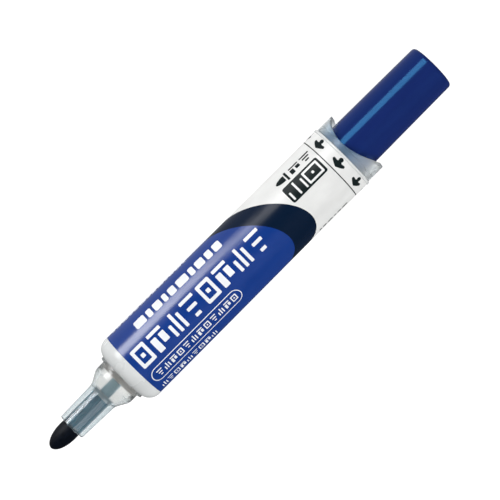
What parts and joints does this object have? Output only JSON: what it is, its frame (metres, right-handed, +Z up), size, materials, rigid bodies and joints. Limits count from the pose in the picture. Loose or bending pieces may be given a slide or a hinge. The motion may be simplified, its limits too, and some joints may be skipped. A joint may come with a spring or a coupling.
{
  "type": "whiteboard marker",
  "caption": "Whiteboard marker lying on its side: bullet nib, clear flared nozzle, printed barrel, scalloped collar and a glossy cap posted on the tail button.",
  "frame": {"origin": "centre of the bounding box in plan, on the surface that the marker lies on", "axes": "+X along the marker from the nib to the closed end of the posted cap, +Z up from the surface it lies on"},
  "size_m": [0.128, 0.0182, 0.0182],
  "materials": {
    "fibre": "dense felted fibre soaked with ink",
    "clear_plastic": "clear polished polypropylene",
    "natural_plastic": "natural unpigmented polyethylene",
    "translucent_plastic": "milky translucent polypropylene",
    "printed_film": "glossy printed shrink film in blue, navy and white",
    "seal_rubber": "soft moulded rubber",
    "white_plastic": "smooth white acetal",
    "spring_steel": "drawn stainless spring wire",
    "cap_plastic": "glossy moulded blue polypropylene"
  },
  "bodies": {
    "barrel_body": {"nib": "fibre", "nozzle": "clear_plastic", "nib_stop": "natural_plastic", "relay_wick": "fibre", "feed_plug": "natural_plastic", "nozzle_seal": "seal_rubber", "barrel": "translucent_plastic", "label_film": "printed_film", "ink_collector": "natural_plastic", "valve_guide": "natural_plastic", "valve_housing": "natural_plastic", "valve_gasket": "seal_rubber", "valve_spring": "spring_steel", "tail_plug": "natural_plastic", "plug_seal": "seal_rubber", "rod_seal": "seal_rubber", "return_spring": "spring_steel", "stop_ring": "white_plastic", "rear_collar": "translucent_plastic"},
    "button_body": {"push_button": "white_plastic", "push_rod": "white_plastic"},
    "valve_body": {"valve_poppet": "white_plastic"},
    "cap_body": {"cap": "cap_plastic", "cap_liner": "natural_plastic"}
  },
  "joints": [
    {"name": "button_push", "type": "slide", "parent": "barrel_body", "child": "button_body", "axis": [-1, 0, 0], "range_m": [0, 0.003], "stiffness_N_per_m": 1000, "springref_m": -0.002, "deforming": ["return_spring"]},
    {"name": "valve_open", "type": "slide", "parent": "barrel_body", "child": "valve_body", "axis": [-1, 0, 0], "range_m": [0, 0.003], "stiffness_N_per_m": 100, "springref_m": -0.001, "deforming": ["valve_spring"]},
    {"name": "cap_pull", "type": "slide", "parent": "button_body", "child": "cap_body", "axis": [1, 0, 0], "range_m": [0, 0.015]}
  ],
  "couplings": [
    {"joint": "valve_open", "follows": "button_push", "ratio": 1}
  ]
}
